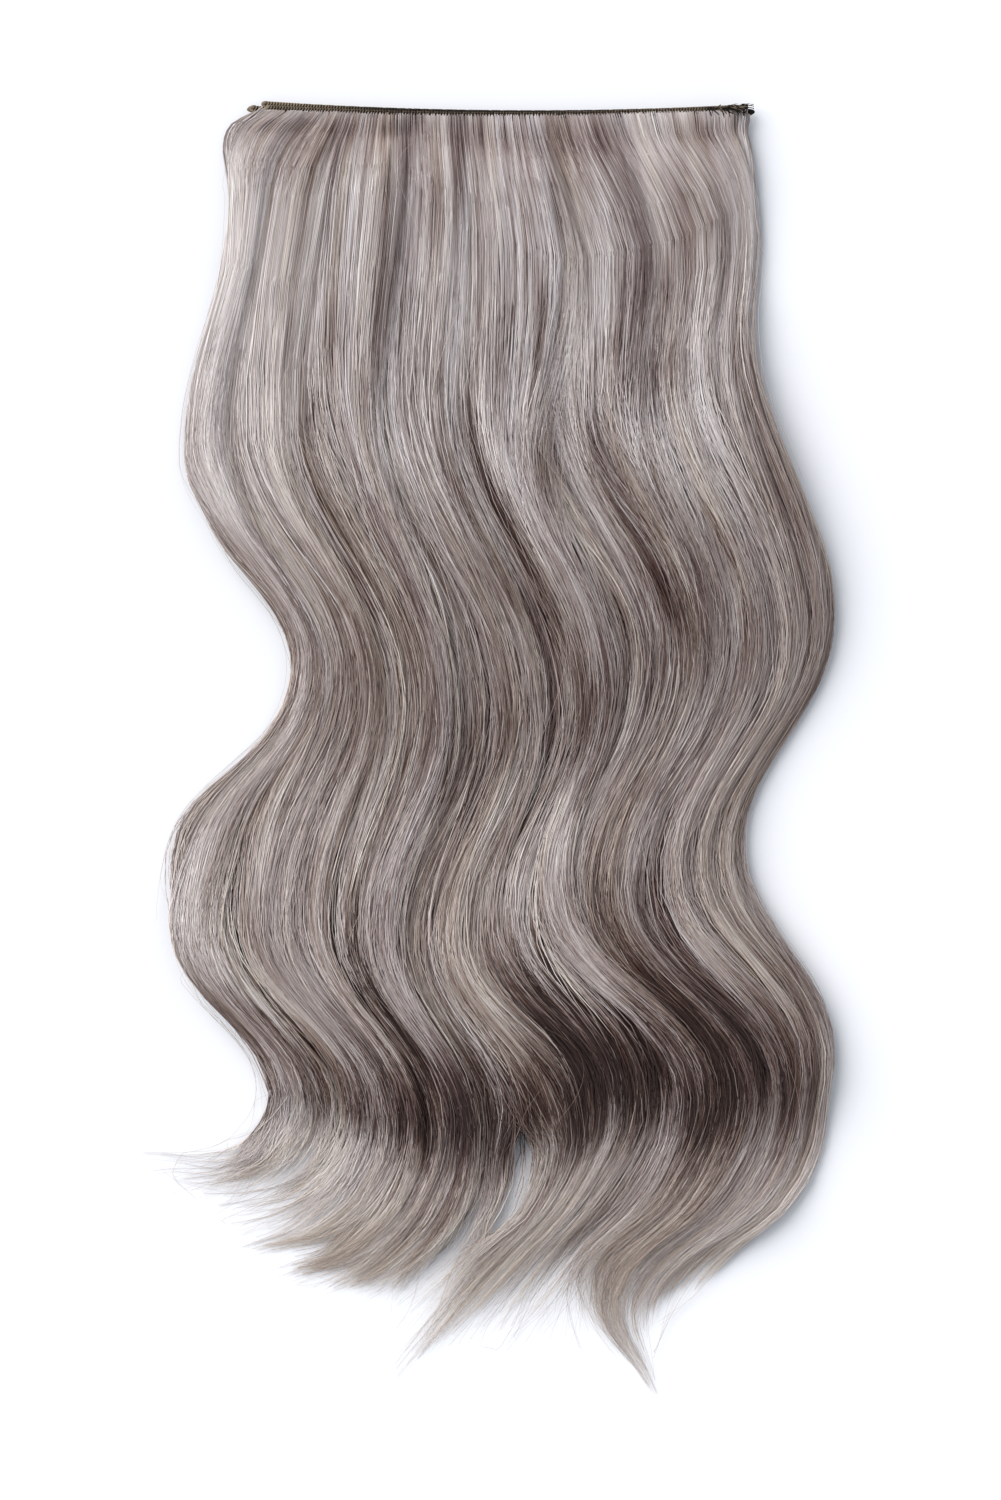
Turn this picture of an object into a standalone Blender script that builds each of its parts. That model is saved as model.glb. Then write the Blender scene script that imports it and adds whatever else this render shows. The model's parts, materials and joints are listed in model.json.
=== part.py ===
"""Clip-in hair extension: three machine-sewn wefts of waved hair, one on another, with snap clips below.

It lies on a table as it would by itself. +X is to the right along the weft, +Y points from the hair's
tips to the weft, and +Z is up. The origin is under the middle of the whole piece, on the table.
"""

import math
from collections import namedtuple

import bmesh
import bpy
from mathutils import Vector

# Driving sizes, in metres
WEFT_WIDTH = 0.200
HAIR_LENGTH = 0.514  # from the weft straight down to the lowest tip, waves included
HAIR_DEPTH = 0.021  # of the whole pile of hair, where it is thickest
BAND_HEIGHT = 0.0026  # of a sewn band, seen from above
BAND_THICKNESS = 0.0015
BAND_SAG = 0.0032  # the weft bows towards the tips between its two ends
GAP = 0.0003  # between pieces that touch
CLIP_LENGTH = 0.032
CLIP_WIDTH = 0.0105
CLIP_HEIGHT = 0.0026
CLIP_PLATE = 0.0009  # thickness of the clip's steel
CLIP_BAR = 0.0022  # width of the clip's frame
CLIP_SLOT = 0.0010  # gap between the clip's frame and its leaf
CLIP_COUNT = 4
TOOTH_COUNT = 7
TOOTH_WIDTH = 0.0012
FLOOR_LENGTH = 0.028  # over which the hair comes down from the clips to the table
SWELL_LENGTH = 0.036  # over which the pile of hair rises from the bands to its own depth

# Shares of the sizes above
WAVE_SWELL = 0.20  # how much the pile rises and falls with the waves, of its own depth
EDGE_DEPTH = 0.36  # depth of the pile at its two sides, of its depth in the middle
SIDE_ROUND = 0.7  # how full the pile is towards its sides: less is fuller
LOCK_CREST = 0.90  # height of a lock, of the layer that it lies in
LOCK_GROOVE = 0.42  # depth of the grooves between locks, of a lock's height
TIP_WIDTH = 0.14  # width of a lock at its tip, of its width where it parts
TAPER = 1.9  # how late a lock narrows to its tip: 1 is evenly, more is later
ROOT_FAN = 1.8  # how far sideways the hair leaves the weft before it bends down
BEND = 1.15  # how long the hair stays at the outside of a bend; 1 is a plain wave
STATIONS = 6  # rings of the hair between two knots of the guides

# Each guide is one line of flow through the hair, from the left side to the right. Every knot is
# (across, down): across in percent of WEFT_WIDTH from the weft's middle, down in percent of HAIR_LENGTH
# below the weft. The left and right knots are the turning points of the waves.
Guide = namedtuple("Guide", "root shoulder left_1 right_1 left_2 right_2 sweep curl tip")
GUIDES = (
    Guide((-50.0, 0), (-57.8, 6.8), (-63.2, 27.0), (-40.8, 44.6), (-67.2, 62.2), (-45.6, 76.6),
          (-49.0, 80.0), (-56.6, 82.0), (-69.4, 82.6)),
    Guide((-42.8, 0), (-50.8, 6.8), (-56.2, 25.4), (-34.8, 44.8), (-51.4, 62.4), (-30.2, 77.8),
          (-33.0, 82.0), (-42.8, 85.6), (-54.8, 87.5)),
    Guide((-37.0, 0), (-44.8, 6.6), (-49.2, 24.2), (-27.8, 45.4), (-39.4, 62.8), (-19.5, 78.8),
          (-22.5, 83.6), (-33.2, 88.0), (-47.0, 89.8)),
    Guide((-31.8, 0), (-35.6, 6.2), (-40.0, 23.0), (-19.2, 46.3), (-29.8, 63.6), (-12.0, 79.4),
          (-15.4, 84.8), (-25.8, 89.5), (-40.6, 92.2)),
    Guide((-22.4, 0), (-22.8, 6.0), (-26.2, 21.4), (-6.2, 47.8), (-18.2, 64.6), (-4.0, 79.2),
          (-7.8, 85.2), (-18.6, 90.6), (-28.6, 94.4)),
    Guide((-11.2, 0), (-10.8, 8.6), (-12.6, 21.8), (8.2, 46.8), (-4.6, 64.2), (15.0, 78.1),
          (9.8, 84.2), (-5.0, 91.0), (-20.0, 98.2)),
    Guide((-0.4, 0), (0.8, 10.8), (0.2, 23.2), (20.0, 44.9), (7.0, 62.0), (26.8, 76.7),
          (21.4, 83.0), (6.6, 90.2), (-8.6, 96.8)),
    Guide((9.6, 0), (13.4, 11.6), (12.8, 23.4), (31.4, 43.4), (17.6, 60.8), (41.6, 76.7),
          (35.2, 84.0), (18.8, 91.8), (29.8, 100)),
    Guide((27.4, 0), (31.6, 10.6), (30.6, 20.6), (46.6, 41.7), (30.4, 60.4), (55.6, 76.7),
          (49.2, 84.4), (27.4, 92.6), (31.2, 99.6)),
    Guide((43.0, 0), (46.6, 8.0), (45.4, 17.0), (60.4, 40.3), (41.2, 59.4), (63.0, 75.8),
          (57.8, 84.2), (35.2, 91.8), (30.2, 98.5)),
    Guide((50.0, 0), (52.2, 7.0), (51.8, 15.5), (67.4, 39.2), (47.8, 58.8), (67.0, 75.2),
          (62.8, 84.0), (43.4, 91.0), (30.6, 95.6)),
)
LAST_KNOT = len(Guide._fields) - 1
FIRST_BEND = Guide._fields.index("left_1")
LAST_BEND = Guide._fields.index("right_2")

# Depth of the pile at each knot, in percent of HAIR_DEPTH
PILE_DEPTH = Guide(root=58, shoulder=62, left_1=86, right_1=96, left_2=100, right_2=86,
                   sweep=66, curl=44, tip=14)

# One row for each weft, from the table up. first and last are the guide numbers at which its band
# begins and ends; inset is how far its hair then stays inside the outer guides, in guide numbers;
# rise is how far the band lies above the front one at its left and right end, in band heights; locks
# and columns shape its hair; parts is the knot at which the locks part, and reach is how far they run,
# as a share of the way from there to the tip.
Weft = namedtuple("Weft", "name first last inset rise_left rise_right locks columns parts reach")
WEFTS = (
    Weft("under", 0.00, 10.00, 0.00, 0.00, -0.55, 6, 2, 5.85, 0.88),
    Weft("rear", 0.33, 9.90, 0.08, 0.72, 0.10, 8, 2, 5.65, 0.94),
    Weft("front", 0.42, 9.43, 0.16, 0.00, 0.00, 12, 3, 5.50, 1.00),
)
REACH_CYCLE = (1.0, 0.93, 0.97, 0.90)  # lock lengths vary from one lock to the next
CAP_BEVEL = 0.3  # corner of a band's section, of its thickness
SHARP_ANGLE = 60  # degrees; flatter edges of the hair are shaded smooth

HAIR_COLOUR = (0.40, 0.36, 0.335, 1)
THREAD_COLOUR = (0.045, 0.036, 0.026, 1)
STEEL_COLOUR = (0.05, 0.04, 0.035, 1)


def clear_scene():
    for old in list(bpy.data.objects):
        bpy.data.objects.remove(old)


def material(name, colour, roughness, metallic=0.0):
    made = bpy.data.materials.new(name)
    made.use_nodes = True
    shader = made.node_tree.nodes["Principled BSDF"]
    shader.inputs["Base Color"].default_value = colour
    shader.inputs["Roughness"].default_value = roughness
    shader.inputs["Metallic"].default_value = metallic
    return made


def ease(t):
    """0 before 0, 1 after 1, and a smooth step between."""
    t = min(max(t, 0.0), 1.0)
    return t * t * (3 - 2 * t)


def hermite(start, leave, end, arrive, t):
    return (
        (2 * t**3 - 3 * t**2 + 1) * start
        + (t**3 - 2 * t**2 + t) * leave
        + (3 * t**2 - 2 * t**3) * end
        + (t**3 - t**2) * arrive
    )


def between(places, values, place):
    """A curve through values at places that never overshoots, read at one place."""
    last = len(places) - 2
    i = next((n for n in range(last) if place < places[n + 1]), last)
    steps = [b - a for a, b in zip(places, places[1:])]
    slopes = [(b - a) / step for a, b, step in zip(values, values[1:], steps)]

    def slope_at(n):
        if n in (0, len(slopes)):
            return slopes[min(n, len(slopes) - 1)]
        before, after = slopes[n - 1], slopes[n]
        return 2 * before * after / (before + after) if before * after > 0 else 0.0

    t = (place - places[i]) / steps[i]
    return hermite(values[i], slope_at(i) * steps[i], values[i + 1], slope_at(i + 1) * steps[i], t)


GUIDE_PLACES = range(len(GUIDES))
LAST_GUIDE = len(GUIDES) - 1


def band_line(x):
    """How far the front band's middle lies below the weft's ends, at x from the weft's middle."""
    return -BAND_SAG * (1 - (2 * x / WEFT_WIDTH) ** 2)


def band_rise(weft, x):
    share = x / WEFT_WIDTH + 0.5
    return BAND_HEIGHT * (weft.rise_left + (weft.rise_right - weft.rise_left) * share)


def root_across(place):
    """How far from the weft's middle the hair at a guide number is sewn in."""
    return WEFT_WIDTH * between(GUIDE_PLACES, [guide.root[0] for guide in GUIDES], place) / 100


def knots_at(weft, place):
    """The knots of the line of flow at a guide number, as points in the plane of the table."""
    x = root_across(place)
    knots = [Vector((x, band_line(x) + band_rise(weft, x) - BAND_HEIGHT / 2 - GAP))]
    for n in range(1, LAST_KNOT + 1):
        across = between(GUIDE_PLACES, [guide[n][0] for guide in GUIDES], place)
        down = between(GUIDE_PLACES, [guide[n][1] for guide in GUIDES], place)
        knots.append(Vector((WEFT_WIDTH * across, -HAIR_LENGTH * down)) / 100)
    return knots


def heading(knots, n):
    """The direction in which the hair passes a knot: straight down at the bends of the waves."""
    if FIRST_BEND <= n <= LAST_BEND:
        return Vector((0, -1))
    before, after = max(n - 1, 0), min(n + 1, LAST_KNOT)
    way = knots[after] - knots[before]
    return Vector((way.x * ROOT_FAN, way.y)).normalized() if n == 0 else way.normalized()


def flow(knots, k):
    """The point at knot number k, which may lie between two knots."""
    n = min(int(k), LAST_KNOT - 1)
    pull = (knots[n + 1] - knots[n]).length * BEND
    leave, arrive = heading(knots, n) * pull, heading(knots, n + 1) * pull
    return hermite(knots[n], leave, knots[n + 1], arrive, k - n)


def bands_height():
    return len(WEFTS) * BAND_THICKNESS + (len(WEFTS) - 1) * GAP


def pile_depth(place, k, past_band):
    """Depth of the whole pile of hair at a guide number across and a knot number along."""
    bulge = abs(math.sin(math.pi * place / LAST_GUIDE)) ** SIDE_ROUND
    side = EDGE_DEPTH + (1 - EDGE_DEPTH) * bulge
    wave = 1 + WAVE_SWELL * math.sin(math.pi * (k - FIRST_BEND)) * ease(k / FIRST_BEND)
    n = min(int(k), LAST_KNOT - 1)
    percent = PILE_DEPTH[n] + (PILE_DEPTH[n + 1] - PILE_DEPTH[n]) * ease(k - n)
    free = HAIR_DEPTH * percent / 100 * side * wave
    return bands_height() + (free - bands_height()) * ease(past_band / SWELL_LENGTH)


def pile_floor(past_band):
    """Height of the pile's underside: over the clips near the bands, and on the table beyond them."""
    past_clips = past_band - CLIP_WIDTH
    return (CLIP_HEIGHT + GAP) * (1 - ease(past_clips / FLOOR_LENGTH))


class HairMesh:
    """The fused locks of one weft, built ring by ring from the root to the tips.

    A ring is one row of vertices above and a shorter one below, which has a vertex only between locks.
    """

    def __init__(self, weft, level):
        self.weft = weft
        self.level = level
        self.fused_rings = round(weft.parts * STATIONS)
        self.made = bmesh.new()

    def vertex(self, share, k, crest=None):
        """A vertex below, or above where crest is given: 0 in a groove, 1 on the back of a lock."""
        weft = self.weft
        spread = ease(k / FIRST_BEND)
        first = weft.first + (weft.inset - weft.first) * spread
        last = weft.last + (LAST_GUIDE - weft.inset - weft.last) * spread
        place = first + (last - first) * share
        point = flow(knots_at(weft, place), k)
        past_band = band_line(root_across(place)) - BAND_HEIGHT / 2 - point.y
        layer = (pile_depth(place, k, past_band) + GAP) / len(WEFTS)
        z = pile_floor(past_band) + layer * self.level
        if crest is not None:
            z += (layer - GAP) * LOCK_CREST * (1 - LOCK_GROOVE * (1 - crest))
        return self.made.verts.new((point.x, point.y, z))

    def ring(self, start, end, locks, k):
        """The vertices above and below between two shares across, at knot number k."""
        count = locks * self.weft.columns
        above = [
            self.vertex(
                start + (end - start) * c / count, k,
                math.sin(math.pi * (c % self.weft.columns) / self.weft.columns),
            )
            for c in range(count + 1)
        ]
        below = [self.vertex(start + (end - start) * n / locks, k) for n in range(locks + 1)]
        return above, below

    def join(self, before, after):
        """The faces above, below and at both sides between two rings."""
        for old, new, upwards in zip(before, after, (True, False)):
            for a, b, d, c in zip(old, old[1:], new[1:], new):
                self.made.faces.new((a, b, d, c) if upwards else (a, c, d, b))
        for n in (0, -1):
            self.made.faces.new((before[0][n], after[0][n], after[1][n], before[1][n]))

    def close(self, ring):
        """The faces across the end of a ring, one for each lock."""
        above, below = ring
        columns = self.weft.columns
        for n in range(len(below) - 1):
            top = above[n * columns:(n + 1) * columns + 1]
            self.made.faces.new(top + [below[n + 1], below[n]])

    def lock(self, number, ring):
        """One lock, from the ring where it parts from its neighbours to its own tip."""
        weft = self.weft
        middle = (number + 0.5) / weft.locks
        parted = self.fused_rings / STATIONS
        length = (LAST_KNOT - parted) * weft.reach * REACH_CYCLE[number % len(REACH_CYCLE)]
        whole = round(length * STATIONS - 0.5)
        above, below = ring
        before = (
            above[number * weft.columns:(number + 1) * weft.columns + 1],
            below[number:number + 2],
        )
        for step in [i / STATIONS for i in range(1, whole)] + [length]:
            half = (1 - (1 - TIP_WIDTH) * (step / length)**TAPER) / weft.locks / 2
            after = self.ring(middle - half, middle + half, 1, parted + step)
            self.join(before, after)
            before = after
        self.close(before)

    def build(self):
        weft = self.weft
        before = self.ring(0, 1, weft.locks, 0)
        self.close(before)
        for i in range(1, self.fused_rings + 1):
            after = self.ring(0, 1, weft.locks, i / STATIONS)
            self.join(before, after)
            before = after
        for number in range(weft.locks):
            self.lock(number, before)
        bmesh.ops.recalc_face_normals(self.made, faces=self.made.faces)
        mesh = bpy.data.meshes.new("hair_" + weft.name)
        self.made.to_mesh(mesh)
        self.made.free()
        mesh.shade_smooth()
        mesh.set_sharp_from_angle(angle=math.radians(SHARP_ANGLE))
        return mesh


def band_mesh(weft, level):
    """A sewn band: a flat strip with bevelled edges, bowed with the weft."""
    low = CLIP_HEIGHT + GAP + level * (BAND_THICKNESS + GAP)
    bevel = BAND_THICKNESS * CAP_BEVEL
    half = BAND_HEIGHT / 2
    section = (
        (-half + bevel, 0), (half - bevel, 0), (half, bevel), (half, BAND_THICKNESS - bevel),
        (half - bevel, BAND_THICKNESS), (-half + bevel, BAND_THICKNESS),
        (-half, BAND_THICKNESS - bevel), (-half, bevel),
    )
    made = bmesh.new()
    before = None
    stations = 12
    start, end = root_across(weft.first), root_across(weft.last)
    for i in range(stations + 1):
        x = start + (end - start) * i / stations
        middle = band_line(x) + band_rise(weft, x)
        ring = [made.verts.new((x, middle + y, low + z)) for y, z in section]
        if before:
            for n in range(len(section)):
                m = (n + 1) % len(section)
                made.faces.new((before[n], before[m], ring[m], ring[n]))
        else:
            made.faces.new(ring)
        before = ring
    made.faces.new(before)
    bmesh.ops.recalc_face_normals(made, faces=made.faces)
    mesh = bpy.data.meshes.new("band_" + weft.name)
    made.to_mesh(mesh)
    made.free()
    return mesh


def add_box(made, low, high):
    corners = [made.verts.new((x, y, z)) for z in (low[2], high[2]) for y in (low[1], high[1])
               for x in (low[0], high[0])]
    for face in ((0, 2, 3, 1), (4, 5, 7, 6), (0, 1, 5, 4), (2, 6, 7, 3), (0, 4, 6, 2), (1, 3, 7, 5)):
        made.faces.new([corners[n] for n in face])


def helper_object(name, boxes):
    """Boxes that a Boolean adds or takes away. They aren't part of the object."""
    made = bmesh.new()
    for low, high in boxes:
        add_box(made, low, high)
    mesh = bpy.data.meshes.new(name)
    made.to_mesh(mesh)
    made.free()
    helper = bpy.data.objects.new(name, mesh)
    bpy.context.collection.objects.link(helper)
    helper.hide_render = True
    helper.display_type = "WIRE"
    return helper


def clip_mesh():
    """A closed snap clip as one solid: a flat frame with a raised leaf and comb teeth inside it."""
    half, width = CLIP_LENGTH / 2, CLIP_WIDTH
    narrow = half - CLIP_BAR  # the free side is shorter, so the frame's ends slope
    corner = CLIP_BAR / 2
    outline = (
        (-half, 0), (half, 0), (half, -corner), (narrow, -width + corner), (narrow - corner, -width),
        (-narrow + corner, -width), (-narrow, -width + corner), (-half, -corner),
    )
    made = bmesh.new()
    plate = made.faces.new([made.verts.new((x, y, 0)) for x, y in outline])
    grown = bmesh.ops.extrude_face_region(made, geom=[plate])
    for part in grown["geom"]:
        if isinstance(part, bmesh.types.BMVert):
            part.co.z = CLIP_PLATE
    bmesh.ops.recalc_face_normals(made, faces=made.faces)
    mesh = bpy.data.meshes.new("clip")
    made.to_mesh(mesh)
    made.free()
    frame = bpy.data.objects.new("clip_frame", mesh)
    bpy.context.collection.objects.link(frame)

    slot_end = narrow - CLIP_BAR
    leaf_low, leaf_high = -width + CLIP_BAR + CLIP_SLOT, -CLIP_BAR - CLIP_SLOT
    slots = helper_object("clip_slots", [
        ((-slot_end, -CLIP_BAR - CLIP_SLOT, -CLIP_PLATE), (slot_end, -CLIP_BAR, CLIP_HEIGHT)),
        ((-slot_end, -width + CLIP_BAR, -CLIP_PLATE), (slot_end, leaf_low, CLIP_HEIGHT)),
    ])
    sunk = CLIP_PLATE / 2
    leaf = helper_object("clip_leaf", [((-slot_end, leaf_low, sunk), (slot_end, leaf_high, CLIP_HEIGHT))])
    pitch = 2 * slot_end / TOOTH_COUNT
    teeth = helper_object("clip_teeth", [
        (
            (pitch * (n - (TOOTH_COUNT - 1) / 2) - TOOTH_WIDTH / 2, -width + sunk, CLIP_PLATE + GAP),
            (pitch * (n - (TOOTH_COUNT - 1) / 2) + TOOTH_WIDTH / 2, leaf_low + sunk, CLIP_HEIGHT - GAP),
        )
        for n in range(TOOTH_COUNT)
    ])
    for helper, operation in ((slots, "DIFFERENCE"), (leaf, "UNION"), (teeth, "UNION")):
        cut = frame.modifiers.new(helper.name, "BOOLEAN")
        cut.operation = operation
        cut.object = helper
    bpy.context.view_layer.update()
    graph = bpy.context.evaluated_depsgraph_get()
    finished = bpy.data.meshes.new_from_object(frame.evaluated_get(graph))
    for used in (frame, slots, leaf, teeth):
        bpy.data.objects.remove(used)
    return finished


def add_object(name, mesh, look, parent):
    mesh.materials.clear()
    mesh.materials.append(look)
    made = bpy.data.objects.new(name, mesh)
    bpy.context.collection.objects.link(made)
    made.parent = parent
    return made


def add_clips(look, parent):
    """The snap clips, evenly spaced below the bands, each sewn on along its long bar."""
    mesh = clip_mesh()
    pitch = WEFT_WIDTH / CLIP_COUNT
    for n in range(CLIP_COUNT):
        clip = add_object(f"clip_{n + 1}", mesh, look, parent)
        x = pitch * (n - (CLIP_COUNT - 1) / 2)
        clip.location = (x, band_line(x) + BAND_HEIGHT / 2, 0)


def centre_on_origin(parent):
    """Moves the whole piece so that the middle of its box is above the origin."""
    bpy.context.view_layer.update()
    corners = [child.matrix_world @ Vector(c) for child in parent.children for c in child.bound_box]
    for axis in (0, 1):
        side = [corner[axis] for corner in corners]
        parent.location[axis] = -(min(side) + max(side)) / 2


def main():
    clear_scene()
    extension = bpy.data.objects.new("hair_extension", None)
    bpy.context.collection.objects.link(extension)
    hair = material("hair", HAIR_COLOUR, 0.38)
    thread = material("thread", THREAD_COLOUR, 0.75)
    steel = material("clip_steel", STEEL_COLOUR, 0.4, 0.3)
    for level, weft in enumerate(WEFTS):
        add_object("hair_" + weft.name, HairMesh(weft, level).build(), hair, extension)
        add_object("band_" + weft.name, band_mesh(weft, level), thread, extension)
    add_clips(steel, extension)
    centre_on_origin(extension)


main()
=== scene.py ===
import json
import math
from collections import namedtuple

import bpy
import numpy as np
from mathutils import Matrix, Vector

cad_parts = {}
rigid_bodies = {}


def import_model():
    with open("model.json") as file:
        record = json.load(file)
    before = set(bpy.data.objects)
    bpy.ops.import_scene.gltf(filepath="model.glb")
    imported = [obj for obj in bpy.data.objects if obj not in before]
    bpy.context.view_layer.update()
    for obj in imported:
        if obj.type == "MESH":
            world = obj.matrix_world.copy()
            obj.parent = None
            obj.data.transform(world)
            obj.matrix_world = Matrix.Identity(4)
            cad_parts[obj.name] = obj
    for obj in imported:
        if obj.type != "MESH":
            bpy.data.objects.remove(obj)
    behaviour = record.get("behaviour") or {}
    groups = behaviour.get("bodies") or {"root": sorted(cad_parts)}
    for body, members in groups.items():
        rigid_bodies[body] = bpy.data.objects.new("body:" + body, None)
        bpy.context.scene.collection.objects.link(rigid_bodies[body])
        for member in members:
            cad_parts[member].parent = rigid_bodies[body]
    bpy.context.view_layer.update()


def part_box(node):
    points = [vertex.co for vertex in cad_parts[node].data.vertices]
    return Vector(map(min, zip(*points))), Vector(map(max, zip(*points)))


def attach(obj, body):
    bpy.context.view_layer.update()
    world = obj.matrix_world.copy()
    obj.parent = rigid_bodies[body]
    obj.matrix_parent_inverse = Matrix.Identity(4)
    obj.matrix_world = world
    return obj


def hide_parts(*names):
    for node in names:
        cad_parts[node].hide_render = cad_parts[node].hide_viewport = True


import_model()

rng = np.random.default_rng(11)

# Sizes in metres, as in the CAD
WEFT_WIDTH = 0.200
HAIR_LENGTH = 0.514
HAIR_DEPTH = 0.021
BAND_HEIGHT = 0.0026
BAND_THICKNESS = 0.0015
BAND_SAG = 0.0032
GAP = 0.0003
CLIP_WIDTH = 0.0105
CLIP_HEIGHT = 0.0026
FLOOR_LENGTH = 0.028
SWELL_LENGTH = 0.036
WAVE_SWELL = 0.20
EDGE_DEPTH = 0.36
SIDE_ROUND = 0.7
ROOT_FAN = 1.8
BEND = 1.15
CLIP_COUNT = 4

Guide = namedtuple("Guide", "root shoulder left_1 right_1 left_2 right_2 sweep curl tip")
GUIDES = (
    Guide((-50.0, 0), (-57.8, 6.8), (-63.2, 27.0), (-40.8, 44.6), (-67.2, 62.2), (-45.6, 76.6),
          (-49.0, 80.0), (-56.6, 82.0), (-69.4, 82.6)),
    Guide((-42.8, 0), (-50.8, 6.8), (-56.2, 25.4), (-34.8, 44.8), (-51.4, 62.4), (-30.2, 77.8),
          (-33.0, 82.0), (-42.8, 85.6), (-54.8, 87.5)),
    Guide((-37.0, 0), (-44.8, 6.6), (-49.2, 24.2), (-27.8, 45.4), (-39.4, 62.8), (-19.5, 78.8),
          (-22.5, 83.6), (-33.2, 88.0), (-47.0, 89.8)),
    Guide((-31.8, 0), (-35.6, 6.2), (-40.0, 23.0), (-19.2, 46.3), (-29.8, 63.6), (-12.0, 79.4),
          (-15.4, 84.8), (-25.8, 89.5), (-40.6, 92.2)),
    Guide((-22.4, 0), (-22.8, 6.0), (-26.2, 21.4), (-6.2, 47.8), (-18.2, 64.6), (-4.0, 79.2),
          (-7.8, 85.2), (-18.6, 90.6), (-28.6, 94.4)),
    Guide((-11.2, 0), (-10.8, 8.6), (-12.6, 21.8), (8.2, 46.8), (-4.6, 64.2), (15.0, 78.1),
          (9.8, 84.2), (-5.0, 91.0), (-20.0, 98.2)),
    Guide((-0.4, 0), (0.8, 10.8), (0.2, 23.2), (20.0, 44.9), (7.0, 62.0), (26.8, 76.7),
          (21.4, 83.0), (6.6, 90.2), (-8.6, 96.8)),
    Guide((9.6, 0), (13.4, 11.6), (12.8, 23.4), (31.4, 43.4), (17.6, 60.8), (41.6, 76.7),
          (35.2, 84.0), (18.8, 91.8), (29.8, 100)),
    Guide((27.4, 0), (31.6, 10.6), (30.6, 20.6), (46.6, 41.7), (30.4, 60.4), (55.6, 76.7),
          (49.2, 84.4), (27.4, 92.6), (31.2, 99.6)),
    Guide((43.0, 0), (46.6, 8.0), (45.4, 17.0), (60.4, 40.3), (41.2, 59.4), (63.0, 75.8),
          (57.8, 84.2), (35.2, 91.8), (30.2, 98.5)),
    Guide((50.0, 0), (52.2, 7.0), (51.8, 15.5), (67.4, 39.2), (47.8, 58.8), (67.0, 75.2),
          (62.8, 84.0), (43.4, 91.0), (30.6, 95.6)),
)
LAST_KNOT = len(Guide._fields) - 1
FIRST_BEND = Guide._fields.index("left_1")
LAST_BEND = Guide._fields.index("right_2")
LAST_GUIDE = len(GUIDES) - 1
PILE_DEPTH = Guide(root=58, shoulder=62, left_1=86, right_1=96, left_2=100, right_2=86,
                   sweep=66, curl=44, tip=14)

# first and last are the guide numbers where a band begins and ends; rise is how far it lies above the
# front one at its left and right end, in band heights
Weft = namedtuple("Weft", "name first last rise_left rise_right")
WEFTS = (
    Weft("under", 0.00, 10.00, 0.00, -0.55),
    Weft("rear", 0.33, 9.90, 0.72, 0.10),
    Weft("front", 0.42, 9.43, 0.00, 0.00),
)

# Painted light and shade along the waves: knot number, and how much lighter or darker all strands are there.
# These values and those of PAINTED_LIGHT_AND_LOWLIGHTS were chosen by comparing the brightness of renders
# with the photo.
WAVE_PAINTED_LIGHT = (
    (0.80, 0.00), (1.25, 0.05), (1.60, 0.07), (2.00, 0.04), (2.25, 0.06), (2.50, -0.05), (2.75, -0.09),
    (3.00, -0.15), (3.25, 0.00), (3.50, 0.00), (3.70, -0.07), (4.00, 0.00), (4.25, 0.05), (4.50, -0.07),
    (4.75, -0.24), (5.00, -0.12), (5.25, -0.05), (5.50, 0.00), (6.00, 0.02),
)
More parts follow.
